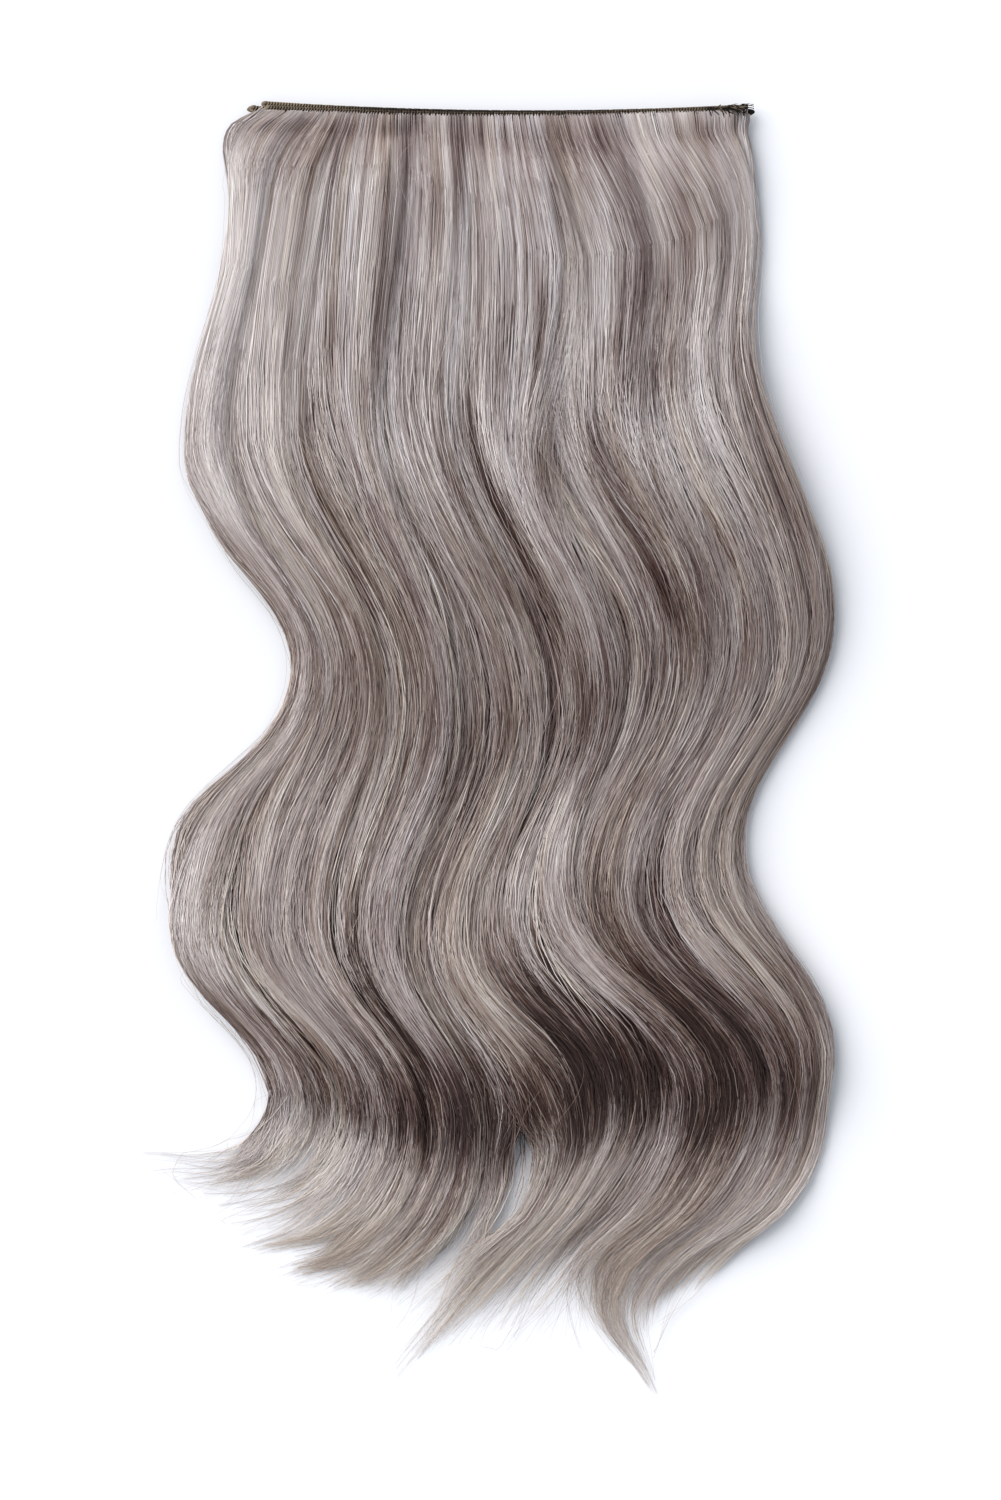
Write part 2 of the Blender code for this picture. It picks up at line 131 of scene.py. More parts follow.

# Lighter and darker places, partly lowlights in the hair's own colour and partly painted highlights and
# painted
# shade: middle guide number and half width across, knots from and to, and how much lighter or darker the
# strands are there
Streak = namedtuple("Streak", "place width start end tone")
PAINTED_LIGHT_AND_LOWLIGHTS = (
    Streak(2.8, 0.65, 0.1, 0.9, -0.17),
    Streak(3.2, 0.30, 1.0, 1.7, 0.10),
    Streak(4.2, 0.25, 0.8, 1.6, -0.08),
    Streak(6.3, 0.50, 0.9, 2.1, -0.20),
    Streak(7.3, 0.35, 1.6, 2.1, -0.20),
    Streak(7.2, 0.30, 0.4, 1.4, 0.10),
    Streak(8.0, 0.35, 0.9, 2.0, -0.16),
    Streak(2.0, 0.50, 1.6, 2.3, 0.12),
    Streak(5.8, 0.50, 1.5, 2.1, 0.10),
    Streak(7.9, 0.40, 1.9, 2.5, 0.12),
    Streak(8.7, 0.30, 1.9, 2.5, 0.12),
    Streak(5.5, 0.70, 2.2, 2.9, -0.26),
    Streak(2.4, 0.60, 2.4, 2.9, -0.12),
    Streak(4.3, 0.35, 2.8, 3.4, -0.14),
    Streak(7.4, 0.35, 2.2, 3.1, -0.14),
    Streak(9.2, 0.30, 2.2, 3.0, -0.12),
    Streak(5.7, 0.50, 3.9, 4.3, 0.10),
    Streak(6.3, 0.30, 2.8, 3.3, -0.14),
    Streak(5.7, 0.60, 4.6, 5.5, -0.16),
    Streak(7.2, 0.30, 4.9, 5.8, -0.12),
    Streak(9.9, 0.50, 4.9, 7.5, 0.24),
    Streak(0.5, 1.10, 0.7, 1.9, 0.22),
    Streak(10.0, 0.60, 0.0, 1.3, 0.16),
    Streak(5.2, 0.30, 0.4, 1.6, 0.10),
    Streak(4.8, 0.50, 0.0, 0.6, -0.08),
    Streak(0.5, 0.60, 3.8, 4.4, 0.10),
    Streak(7.4, 0.40, 3.6, 4.6, -0.16),
    Streak(7.2, 1.80, 4.25, 5.1, -0.32),
    Streak(5.3, 0.40, 4.3, 4.9, -0.14),
    Streak(2.8, 1.90, 4.4, 5.2, -0.22),
    Streak(3.6, 0.65, 4.9, 6.5, -0.20),
    Streak(2.7, 0.30, 5.0, 5.8, -0.10),
    Streak(7.8, 1.40, 4.8, 5.8, -0.16),
    Streak(9.7, 0.35, 3.1, 3.9, -0.14),
    Streak(0.9, 0.45, 3.6, 4.0, -0.10),
    Streak(0.9, 0.60, 5.0, 6.6, 0.20),
    Streak(0.2, 0.60, 3.8, 4.3, 0.06),
    Streak(8.8, 0.25, 1.0, 1.7, -0.12),
    Streak(7.0, 1.20, 5.9, 6.9, -0.12),
    Streak(2.5, 0.50, 4.9, 5.8, -0.10),
    Streak(0.8, 0.50, 2.0, 2.5, 0.12),
    Streak(2.2, 0.30, 1.6, 4.9, -0.10),
    Streak(2.8, 0.22, 1.7, 2.7, 0.13),
    Streak(7.0, 0.35, 2.1, 2.6, 0.13),
    Streak(6.8, 0.60, 2.8, 3.2, -0.09),
    Streak(8.4, 0.35, 2.3, 2.9, -0.11),
    Streak(8.8, 0.50, 3.3, 3.9, -0.11),
    Streak(5.8, 0.30, 4.0, 4.5, 0.14),
    Streak(2.8, 1.90, 4.5, 4.9, -0.22),
    Streak(6.3, 0.38, 4.3, 4.9, -0.24),
    Streak(7.2, 0.25, 3.6, 4.2, -0.12),
    Streak(4.2, 0.25, 1.4, 2.0, 0.13),
    Streak(3.4, 0.40, 0.4, 1.1, -0.12),
    Streak(2.8, 0.25, 2.9, 3.4, -0.10),
    Streak(8.2, 0.45, 0.5, 1.7, -0.09),
)

# Strands of a piece, and the width of each ribbon
FRONT_STRANDS = 2290
REAR_STRANDS = 1500
UNDER_STRANDS = 1200
FLYAWAYS = 420
FRONT_WIDTH = 0.00029
TOP_WIDTH = 0.00027
REAR_WIDTH = 0.00040
UNDER_WIDTH = 0.00045
FLYAWAY_WIDTH = 0.00011
STRAND_POINTS = 44
FLYAWAY_POINTS = 16
TUFTS = 7
TUFT_PITCH = 0.0023  # between the places where the roots are gathered
CREST_HEIGHT = 0.0024  # how far the waves of the strands rise over the pile

# Stitches and threads of the bands
HALF_HEIGHT = BAND_HEIGHT / 2
HALF_DEPTH = BAND_THICKNESS / 2
BUNDLE_RINGS = 180
BUNDLE_SIDES = 12
STITCH_PITCH = 0.00115
STITCH_SLANT = 0.0009
CHAIN_RADIUS = 0.00017
LOOP_THREADS = 20
LOOP_REACH = 0.0022
LOOP_TURN = 0.0016
LOOP_RADIUS = 0.00026
LOOP_POINTS = 16
TANGLE_THREADS = 44
TANGLE_POINTS = 10
# How much paler each band is at its left end than in its middle
BAND_PALE = {"front": 0.34, "rear": 0.50, "under": 0.50}

# Pixels of the photo: its height, the width of its weft and the weft's row
PHOTO_HEIGHT = 1500
WEFT_PIXELS = 500
WEFT_ROW = 107
PIXEL = WEFT_WIDTH / WEFT_PIXELS
CAMERA_LENS = 100
CAMERA_SENSOR = 36
CAMERA_LIFT = 0.008
TABLE_HALF = 60.0

# Gaps between masses of hair: guide number, half width, knots from and to, and how far the guide number
# moves on the way
Gap = namedtuple("Gap", "place half start end drift")
GAPS = (
    Gap(4.42, 0.20, 4.75, 6.75, 0.25),
    Gap(5.62, 0.05, 4.95, 5.75, 0.10),
)
# Wisps that some of the tips draw together into: guide numbers at the tip
WISPS = (-0.15, 0.28, 0.66, 1.15, 1.60, 2.55, 3.35, 4.05, 4.62, 5.00, 5.45, 6.10, 7.15)
# Where strands end: guide number, the knots of the first and last ends, and how much more often they end
# early. Set against the photo.
Tips = namedtuple("Tips", "place first last fade")
TIPS = (
    Tips(-0.2, 6.4, 8.35, 2.0), Tips(0.3, 6.0, 7.80, 2.0), Tips(0.9, 5.2, 8.00, 3.2),
    Tips(1.4, 5.8, 8.05, 2.2), Tips(2.0, 6.8, 8.00, 1.4), Tips(2.8, 7.1, 7.90, 1.2),
    Tips(3.4, 6.9, 7.75, 1.3), Tips(3.9, 6.5, 7.50, 1.6), Tips(4.4, 5.7, 7.90, 2.2),
    Tips(5.0, 5.7, 8.05, 2.1), Tips(5.6, 5.8, 7.85, 2.2), Tips(6.3, 6.2, 7.85, 2.4),
    Tips(7.0, 6.3, 8.05, 3.6), Tips(7.5, 6.3, 8.02, 3.2), Tips(8.2, 6.5, 7.50, 1.8),
    Tips(9.0, 6.5, 7.15, 1.3), Tips(10.0, 6.5, 7.05, 1.2),
)
# How far strands at the left and right edge are moved across, in guides to the right, by knot number. They
# were worked out from how far a render's outline lay from the photo's.
LEFT_EDGE = (
    (0.00, 0.00), (0.10, -0.30), (0.25, -0.30), (0.45, -0.12), (0.70, 0.18), (0.95, 0.52),
    (1.15, 0.76), (1.30, 0.84), (1.45, 0.68), (1.60, 0.42), (1.80, 0.12), (2.00, 0.00),
    (2.22, 0.20), (2.45, 0.00), (2.85, 0.00), (3.00, -0.14), (3.15, -0.38), (3.30, -0.50),
    (3.45, -0.44), (3.60, -0.24), (3.75, -0.02), (3.90, 0.13), (4.05, 0.10), (4.30, -0.02),
    (4.50, -0.12), (4.62, -0.15), (4.75, -0.11), (4.90, 0.00),
)
RIGHT_EDGE = (
    (0.05, 0.00), (0.15, -0.20), (1.00, -0.18), (1.40, -0.08), (1.80, -0.12), (2.20, -0.33),
    (2.75, -0.33), (3.00, -0.16), (3.40, -0.05), (3.80, -0.08), (4.00, 0.00), (4.20, 0.26),
    (4.40, 0.48), (4.60, 0.38), (4.80, 0.06), (5.00, -0.30), (5.20, -0.42), (6.50, -0.42),
    (7.20, 0.00),
)
# How far in from each edge strands are moved, in guides
LEFT_REACH = 2.6
RIGHT_REACH = 2.4
THIN = 1.0


def ease(t):
    t = np.clip(t, 0.0, 1.0)
    return t * t * (3 - 2 * t)


def hermite(start, leave, end, arrive, t):
    return (
        (2 * t**3 - 3 * t**2 + 1) * start
        + (t**3 - 2 * t**2 + t) * leave
        + (3 * t**2 - 2 * t**3) * end
        + (t**3 - t**2) * arrive
    )


def across_guides(values, place):
    """A curve through one value for each guide, read at guide numbers, and straight beyond the last."""
    v = np.asarray(values, float)
    step = np.diff(v)
    slope = np.empty(len(v))
    slope[0], slope[-1] = step[0], step[-1]
    same = step[:-1] * step[1:] > 0
    total = np.where(same, step[:-1] + step[1:], 1)
    slope[1:-1] = np.where(same, 2 * step[:-1] * step[1:] / total, 0)
    i = np.clip(np.floor(place).astype(int), 0, len(v) - 2)
    t = place - i
    inside = np.clip(t, 0, 1)
    beyond = (t - inside) * np.where(t < 0, slope[i], slope[i + 1])
    return hermite(v[i], slope[i], v[i + 1], slope[i + 1], inside) + beyond


def band_line(x):
    return -BAND_SAG * (1 - (2 * x / WEFT_WIDTH) ** 2)


def band_rise(weft, x):
    """How far a band lies above the front one."""
    share = x / WEFT_WIDTH + 0.5
    return BAND_HEIGHT * (weft.rise_left + (weft.rise_right - weft.rise_left) * share)


def root_across(place):
    return WEFT_WIDTH * across_guides([g.root[0] for g in GUIDES], place) / 100


def flow_grid(places, ks):
    """Points of the flow at every guide number and knot number, measured from the weft's middle."""
    x = root_across(places)
    knots = [np.stack([x, band_line(x) - BAND_HEIGHT / 2 - GAP], -1)]
    for n in range(1, LAST_KNOT + 1):
        knots.append(np.stack([
            WEFT_WIDTH * across_guides([g[n][0] for g in GUIDES], places),
            -HAIR_LENGTH * across_guides([g[n][1] for g in GUIDES], places),
        ], -1) / 100)
    knots = np.stack(knots, 1)

    def heading(n):
        if FIRST_BEND <= n <= LAST_BEND:
            return np.broadcast_to(np.array([0.0, -1.0]), knots[:, 0].shape)
        way = knots[:, min(n + 1, LAST_KNOT)] - knots[:, max(n - 1, 0)]
        if n == 0:
            way = way * np.array([ROOT_FAN, 1])
        return way / np.linalg.norm(way, axis=1, keepdims=True)

    grid = np.empty((len(places), len(ks), 2))
    for j, k in enumerate(ks):
        n = min(int(k), LAST_KNOT - 1)
        pull = np.linalg.norm(knots[:, n + 1] - knots[:, n], axis=1, keepdims=True) * BEND
        grid[:, j] = hermite(
            knots[:, n], heading(n) * pull, knots[:, n + 1], heading(n + 1) * pull, k - n)
    return grid


PLACE_STEP = 0.05
KNOT_STEP = 0.025
PLACES = np.arange(-1.0, LAST_GUIDE + 1.001, PLACE_STEP)
KNOTS = np.arange(0, LAST_KNOT + 0.001, KNOT_STEP)
GRID = flow_grid(PLACES, KNOTS)
MIDDLE = GRID[len(PLACES) // 2]
ALONG = np.concatenate([[0], np.cumsum(np.linalg.norm(np.diff(MIDDLE, axis=0), axis=1))])
STRAND_LENGTH = ALONG[-1]

# The weft's middle in the row frame, from the pieces that are centred on it
under_low, under_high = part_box("band_under")
clip_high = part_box("clip_1")[1]
clip_x = WEFT_WIDTH / CLIP_COUNT * (-(CLIP_COUNT - 1) / 2)
WEFT_X = (under_low[0] + under_high[0]) / 2
WEFT_Y = clip_high[1] - band_line(clip_x) - BAND_HEIGHT / 2


def flow(place, k):
    """Points of the flow at guide numbers and knot numbers, from the grid, and straight on past the tips."""
    a = np.clip((place - PLACES[0]) / PLACE_STEP, 0, len(PLACES) - 1.001)
    b = np.clip(k / KNOT_STEP, 0, len(KNOTS) - 1.001)
    i, j = a.astype(int), b.astype(int)
    s, t = (a - i)[..., None], (b - j)[..., None]
    points = (
        GRID[i, j] * (1 - s) * (1 - t) + GRID[i + 1, j] * s * (1 - t)
        + GRID[i, j + 1] * (1 - s) * t + GRID[i + 1, j + 1] * s * t
    )
    past = np.maximum(k - LAST_KNOT, 0)[..., None]
    return points + past * (GRID[i, -1] - GRID[i, -3]) / (2 * KNOT_STEP)


def edge_table(pairs):
    """A table of knot numbers and shifts, smoothed, at each of KNOTS."""
    rough = np.interp(KNOTS, [knot for knot, shift in pairs], [shift for knot, shift in pairs])
    return np.convolve(np.pad(rough, 3, mode="edge"), np.full(7, 1 / 7), mode="valid")


LEFT_SHIFT = edge_table(LEFT_EDGE)
RIGHT_SHIFT = edge_table(RIGHT_EDGE)


def edge_shift(place, k):
    """How far strands near the left and right edge are moved across."""
    left = np.interp(k, KNOTS, LEFT_SHIFT)
    right = np.interp(k, KNOTS, RIGHT_SHIFT)
    from_left, from_right = place / LEFT_REACH, (LAST_GUIDE - place) / RIGHT_REACH
    return left * ease(1 - from_left) + right * ease(1 - from_right)


def wave_crest(moved, k):
    """How far the waves rise and fall over the pile."""
    return CREST_HEIGHT * np.sin(np.pi * (moved - FIRST_BEND)) * ease((k - 1) / 1.2) * (1 - ease(k - 6))


def share_at(knot):
    """The share of a strand's length at a knot number."""
    return np.interp(knot, KNOTS, ALONG) / STRAND_LENGTH


def knot_at(share):
    """The knot number at a share of a strand's length."""
    last_step = (ALONG[-1] - ALONG[-2]) / (KNOTS[-1] - KNOTS[-2])
    past = np.maximum(share - 1, 0) * STRAND_LENGTH / last_step
    return np.interp(share * STRAND_LENGTH, ALONG, KNOTS) + past


def pile(place, k, y):
    """Height of the pile's underside and its depth."""
    inside = np.clip(place, 0, LAST_GUIDE)
    past_band = band_line(root_across(inside)) - BAND_HEIGHT / 2 - y
    side = EDGE_DEPTH + (1 - EDGE_DEPTH) * np.abs(np.sin(np.pi * inside / LAST_GUIDE)) ** SIDE_ROUND
    wave = 1 + WAVE_SWELL * np.sin(np.pi * (k - FIRST_BEND)) * ease(k / FIRST_BEND)
    n = np.clip(k.astype(int), 0, LAST_KNOT - 1)
    depths = np.array(PILE_DEPTH, float)
    percent = depths[n] + (depths[n + 1] - depths[n]) * ease(k - n)
    bands = len(WEFTS) * BAND_THICKNESS + (len(WEFTS) - 1) * GAP
    depth = bands + (HAIR_DEPTH * percent / 100 * side * wave - bands) * ease(past_band / SWELL_LENGTH)
    floor = (CLIP_HEIGHT + GAP) * (1 - ease((past_band - CLIP_WIDTH) / FLOOR_LENGTH))
    return floor, depth


def smooth_noise(seed, rows, columns):
    """A function of two numbers from 0 to 1 that changes smoothly over a grid of random values."""
    table = np.random.default_rng(seed).uniform(-1, 1, (rows + 2, columns + 2))

    def read(a, b):
        a, b = np.clip(a, 0, 1) * rows, np.clip(b, 0, 1) * columns
        i, j = a.astype(int), b.astype(int)
        s, t = ease(a - i), ease(b - j)
        return (
            table[i, j] * (1 - s) * (1 - t) + table[i + 1, j] * s * (1 - t)
            + table[i, j + 1] * (1 - s) * t + table[i + 1, j + 1] * s * t
        )

    return read


LOCK_TONE = smooth_noise(3, 44, 24)
FINE_TONE = smooth_noise(4, 330, 26)
SHORT_TONE = smooth_noise(9, 300, 42)
WARMTH = smooth_noise(5, 60, 3)
UNEVEN = smooth_noise(6, 36, 2)
PATCHES = smooth_noise(8, 16, 1)
STRIPE_TONE = smooth_noise(12, 120, 14)


def painted_light_tone(place, k):
    """Painted light and shade: how much lighter or darker the hair is at a place, from the table and the
    waves, with lighter tips that are partly painted light through them.
    """
    total = np.interp(k, [knot for knot, tone in WAVE_PAINTED_LIGHT], [tone for knot, tone in WAVE_PAINTED_LIGHT])
    for streak in PAINTED_LIGHT_AND_LOWLIGHTS:
        near = np.exp(-((place - streak.place) / streak.width) ** 2)
        ramp = ease((k - streak.start) / 0.5 + 0.5) * ease((streak.end - k) / 0.5 + 0.5)
        total = total + streak.tone * near * ramp
    # lighter tips: partly their own paler colour, partly painted light through the thin tips; a little darker
    # at the tips on the right
    tips = 0.06 * ease((k - 5.6) / 0.8) - 0.04 * ease((k - 6.7) / 0.6)
    return total + tips - 0.05 * ease((place - 5.5) / 1.5) * ease((k - 6) / 0.8)


def unit(v):
    return v / np.maximum(np.linalg.norm(v, axis=-1, keepdims=True), 1e-12)


def add_object(name, data):
    made = bpy.data.objects.new(name, data)
    bpy.context.scene.collection.objects.link(made)
    return made


def mesh_object(name, vertices, faces, uv, normals, look):
    """A mesh of quads from arrays. uv has one row for each vertex."""
    mesh = bpy.data.meshes.new(name)
    mesh.vertices.add(len(vertices))
    mesh.vertices.foreach_set("co", vertices.astype(np.float32).ravel())
    mesh.loops.add(faces.size)
    mesh.loops.foreach_set("vertex_index", faces.astype(np.int32).ravel())
    mesh.polygons.add(len(faces))
    mesh.polygons.foreach_set("loop_start", np.arange(len(faces), dtype=np.int32) * faces.shape[1])
    mesh.polygons.foreach_set("use_smooth", np.ones(len(faces), bool))
    mesh.update(calc_edges=True)
    for layer_name in ("Strand", "OFBake"):
        layer = mesh.uv_layers.new(name=layer_name)
        layer.data.foreach_set("uv", uv[faces.ravel()].astype(np.float32).ravel())
    if normals is not None:
        mesh.normals_split_custom_set_from_vertices(normals.astype(np.float32))
    mesh.materials.append(look)
    return add_object(name, mesh)


def ribbons(name, points, width, facing, uv, look):
    """Thin flat strips along rows of points, shaded as if they were round."""
    n, m = points.shape[:2]
    along = unit(np.gradient(points, axis=1))
    side = unit(np.cross(along, facing))
    outward = unit(np.cross(side, along))
    half = side * width[..., None] / 2
    vertices = np.stack([points - half, points + half], 2).reshape(-1, 3)
    lean = 0.6
    normals = unit(np.stack([outward - side * lean, outward + side * lean], 2)).reshape(-1, 3)
    start = (np.arange(n)[:, None] * m + np.arange(m - 1)[None, :]).ravel() * 2
    faces = np.stack([start, start + 1, start + 3, start + 2], 1)
    both = np.repeat(uv.reshape(-1, 2), 2, axis=0)
    return mesh_object(name, vertices, faces, both, normals, look)


def rows(count, low, high):
    """Random numbers, one row for each strand."""
    return rng.uniform(low, high, (count, 1))


class Locks:
    """The locks of one layer: where each lies, how it wanders and how it ends."""

    def __init__(self, count, low, high, layer, depth, seed, spread=1.45, wander=0.12, border_shade=0.08):
        r = np.random.default_rng(seed)
        step = (high - low) / count
        self.count = count
        self.place = low + step * (np.arange(count) + 0.5 + r.uniform(-0.3, 0.3, count))
        self.half = step / 2 * np.exp(r.normal(0, 0.38, count)) * spread
        self.layer = layer + r.uniform(-0.14, 0.10, count)
        self.depth = depth * r.uniform(0.7, 1.3, count)
        # how much painted shade each lock has along its borders
        self.border_shade = border_shade * r.uniform(0, 1.5, count) ** 2
        self.lag = r.normal(0, 0.20, count)
        self.wander = np.where(r.uniform(0, 1, count) < 0.2, 2, r.uniform(0.3, 1, count)) * wander
        self.shift = r.uniform(0.02, 0.13, count)
        self.phase = r.uniform(0, 2 * np.pi, (4, count))
        self.turns = r.uniform(0.7, 1.3, count)
        self.tone = r.uniform(-0.03, 0.03, count)
        long = r.uniform(0, 1, count) < 0.45
        r.uniform(0, 1, (2, count))  # not used: the draws below keep their places in the order
        self.twist = r.uniform(-1.8, 1.8, count)
        self.wisp = np.where(long, r.uniform(0.22, 0.5, count), r.uniform(0.6, 1.0, count))
        spin = r.uniform(0, 2 * np.pi, (count, TUFTS))
        out = 0.72 * np.sqrt(r.uniform(0, 1, (count, TUFTS)))
        self.tuft_across = out * np.cos(spin)
        self.tuft_up = out * np.sin(spin)
        self.tuft_tone = r.uniform(-0.03, 0.03, (count, TUFTS))
        self.tuft_warm = r.uniform(-0.12, 0.12, (count, TUFTS))


def even_ranks(values, groups):
    """Spread each group's values evenly from -1 to 1 in their own order."""
    spread = np.empty(len(values))
    for group in np.unique(groups):
        own = np.flatnonzero(groups == group)
        order = np.argsort(np.argsort(values[own]))
        spread[own] = 2 * (order + 0.5) / len(own) - 1
    return spread[:, None]


def share_points(count):
    """Shares of a strand's length, closer together at the root, in the bends and at the tip."""
    share = np.linspace(0, 1, 2001)
    crowd = 1 + 3.0 * (share < 0.04) - 0.5 * ((share > 0.08) & (share < 0.22)) + 0.15 * (share > 0.8)
    total = np.concatenate([[0], np.cumsum((crowd[1:] + crowd[:-1]) / 2)])
    return np.interp(np.linspace(0, 1, count), total / total[-1], share)


def part(place, k, home, ragged):
    """Push strands to both sides of the gaps. home is the guide number that decides a strand's side."""
    moved = place
    for gap in GAPS:
        side = np.where(home < gap.place, -1, 1)
        off = np.maximum((place - gap.place) * side, 0)
        aside = gap.place + side * (off + gap.half * ragged * np.exp(-off / 0.4))
        near = np.exp(-(off / 0.9) ** 2)
        open_up = ease((k - gap.start) / 0.7) * ease((gap.end - k) / 0.5)
        drift = gap.drift * ease((k - gap.start) / (gap.end - gap.start))
        moved = moved + ((aside - place) * open_up + drift) * near
    return moved


def strand_ends(home):
    """The wisp that each strand ends in, as its guide number at the tip, and the strand's length."""
    count = len(home)
    centres = np.array(WISPS)
    centre = centres[np.abs(home - centres).argmin(axis=1)][:, None]
    off = np.clip(np.abs(home - centre) / 0.35, 0, 1)
    places = [tips.place for tips in TIPS]
    first = np.interp(home, places, [tips.first for tips in TIPS])
    last = np.interp(home, places, [tips.last for tips in TIPS])
    long = rows(count, 0, 1) ** (np.interp(home, places, [tips.fade for tips in TIPS]) + 0.8 * off)
    ends = share_at(first + (last - first) * long) + np.maximum(last - LAST_KNOT, 0) * 0.08 * long
    return centre, np.where(rows(count, 0, 1) < 0.04, ends * rows(count, 0.5, 0.95), ends)


def root_shadow(place, share):
    """How much darker strands are just below the band."""
    a = np.clip(place / LAST_GUIDE, 0, 1)
    inside_top = 0.35 + 0.65 * ease(place / 2) * ease((LAST_GUIDE - place) / 3)
    patchy = 0.55 + 0.6 * PATCHES(a, 0 * share) + 0.4 * FINE_TONE(a, 0.5 + 0 * share)
    # painted shadow just below the band, patchy across it, and a fainter, wider one further down
    band_shadow = 0.22 * np.exp(-((share - 0.015) / 0.009) ** 2) * np.maximum(patchy, 0)
    band_shadow = band_shadow + 0.09 * ease(share / 0.008) * (1 - ease((share - 0.03) / 0.05))
    return band_shadow * inside_top


def in_row_frame(flat_points, z):
    return np.concatenate([flat_points, z[..., None]], -1) + np.array([WEFT_X, WEFT_Y, 0])


class Strands:
    """The strands of a layer of locks. The methods draw random numbers, so grow calls each one once."""

    def __init__(self, locks, count, weft, loose):
        self.count = int(count * THIN)
        self.locks = locks
        self.weft = weft
        self.loose = loose
        self.pick = rng.choice(locks.count, self.count, p=locks.half / locks.half.sum())
        self.tuft = rng.integers(0, TUFTS, self.count)
        home = self.of(locks.place) + self.of(locks.half) * self.rows(-0.9, 0.9)
        self.home = np.clip(home, 0, LAST_GUIDE)
        self.wisp, self.ends = strand_ends(self.home)
        self.share = share_points(STRAND_POINTS)[None, :] * self.ends
        self.k = knot_at(self.share)
        self.open_out = ease(self.share / 0.34)

    def of(self, values):
        """The value of its lock for each strand."""
        return values[self.pick][:, None]

    def of_tuft(self, values):
        return values[self.pick, self.tuft][:, None]

    def rows(self, low, high):
        return rows(self.count, low, high)

    def normal(self, spread):
        return rng.normal(0, spread, (self.count, 1))

    def in_lock(self):
        """Where strands lie in the section of their lock, across and up: the strand in its tuft, the tuft in
        its lock.
        """
        locks, share = self.locks, self.share
        spin = self.rows(0, 2 * np.pi)
        out = np.sqrt(self.rows(0, 1)) * 0.55
        tight = 1 - 0.50 * ease((share - 0.15) / 0.5)
        across = self.of_tuft(locks.tuft_across) + out * np.cos(spin) * tight
        up = self.of_tuft(locks.tuft_up) + out * np.sin(spin) * tight
        turn = self.of(locks.twist) * share
        gather = 1 - 0.22 * ease((share - 0.2) / 0.4)
        gather = gather - (1 - self.of(locks.wisp)) * ease((share - 0.78) / 0.2)
        section = (across * np.cos(turn) - up * np.sin(turn)) * gather
        lift = (across * np.sin(turn) + up * np.cos(turn)) * gather
        flat = even_ranks(section[:, 0], self.pick)
        section = flat * (1 - self.open_out) + section * self.open_out
        return section * (1 + 0.7 * (1 - ease((share - 0.14) / 0.24))), lift

    def wander(self, section):
        """Guide numbers and knot numbers along the strands, and the small waves of each strand."""
        locks, share, k, loose, open_out = self.locks, self.share, self.k, self.loose, self.open_out
        swing = np.sin(2 * np.pi * self.of(locks.turns) * share + self.of(locks.phase[0]))
        slow = np.sin(2 * np.pi * 0.8 * share + self.of(locks.phase[1]))
        own = np.sin(2 * np.pi * (self.rows(1.5, 4) * share + self.rows(0, 1)))
        drift = np.sin(2 * np.pi * (self.rows(0.5, 1.5) * share + self.rows(0, 1)))
        place = self.of(locks.place) + self.of(locks.half) * section
        place = place + (self.of(locks.wander) * swing + 0.03 * loose * own * self.rows(0, 1)) * open_out
        place = place + self.rows(0, 1) ** 8 * 0.35 * loose * drift * open_out
        cross = np.sin(2 * np.pi * (self.rows(5, 11) * share + self.rows(0, 1)))
        place = place + 0.05 * cross * self.rows(0, 1) * open_out
        place = place + 0.10 * self.normal(1) * drift * ease((share - 0.15) / 0.2)
        draw = 0.85 * ease((k - 6.4) / 1.5) * np.minimum(self.rows(0, 1.6), 1)
        draw = draw * ease((7.9 - self.home) / 0.8)
        place = place + (self.wisp - place) * draw + self.normal(0.09) * ease((share - 0.8) / 0.2)
        place = np.clip(place, -0.05 - 0.15 * ease((k - 6) / 2), LAST_GUIDE + 0.06)
        held = self.weft.first + (self.weft.last - self.weft.first) * np.clip(place / LAST_GUIDE, 0, 1)
        place = held + (place - held) * ease(share / 0.08)
        place = place + edge_shift(place, k) * ease(share / 0.008)
        shift = self.of(locks.shift) * slow + 0.03 * loose * self.rows(-1, 1)
        moved = np.clip(k + shift * open_out, 0, LAST_KNOT + 0.4)
        crosses = self.rows(0, 1) < 0.05
        ragged = np.where(crosses, self.rows(-0.5, 0.4), self.rows(0.5, 1.3))
        return part(place, moved, self.of(locks.place), ragged), moved, own

    def heights(self, place, moved, y, lift, own):
        """Heights in the pile from 0 to about 1, and in metres."""
        layer = self.of(self.locks.layer)
        floor, depth = pile(place, moved, y)
        height = layer + self.of(self.locks.depth) * lift * self.open_out
        depth = depth * (1 - 0.5 * ease((self.k - 5.0) / 1.2))
        z = floor + depth * np.clip(height, 0.02, 1.06) + wave_crest(moved, self.k) * np.clip(layer, 0, 1)
        z = z + 0.0006 * self.loose * own * self.rows(0, 1) * self.open_out
        return height, np.maximum(z, 0.0003)

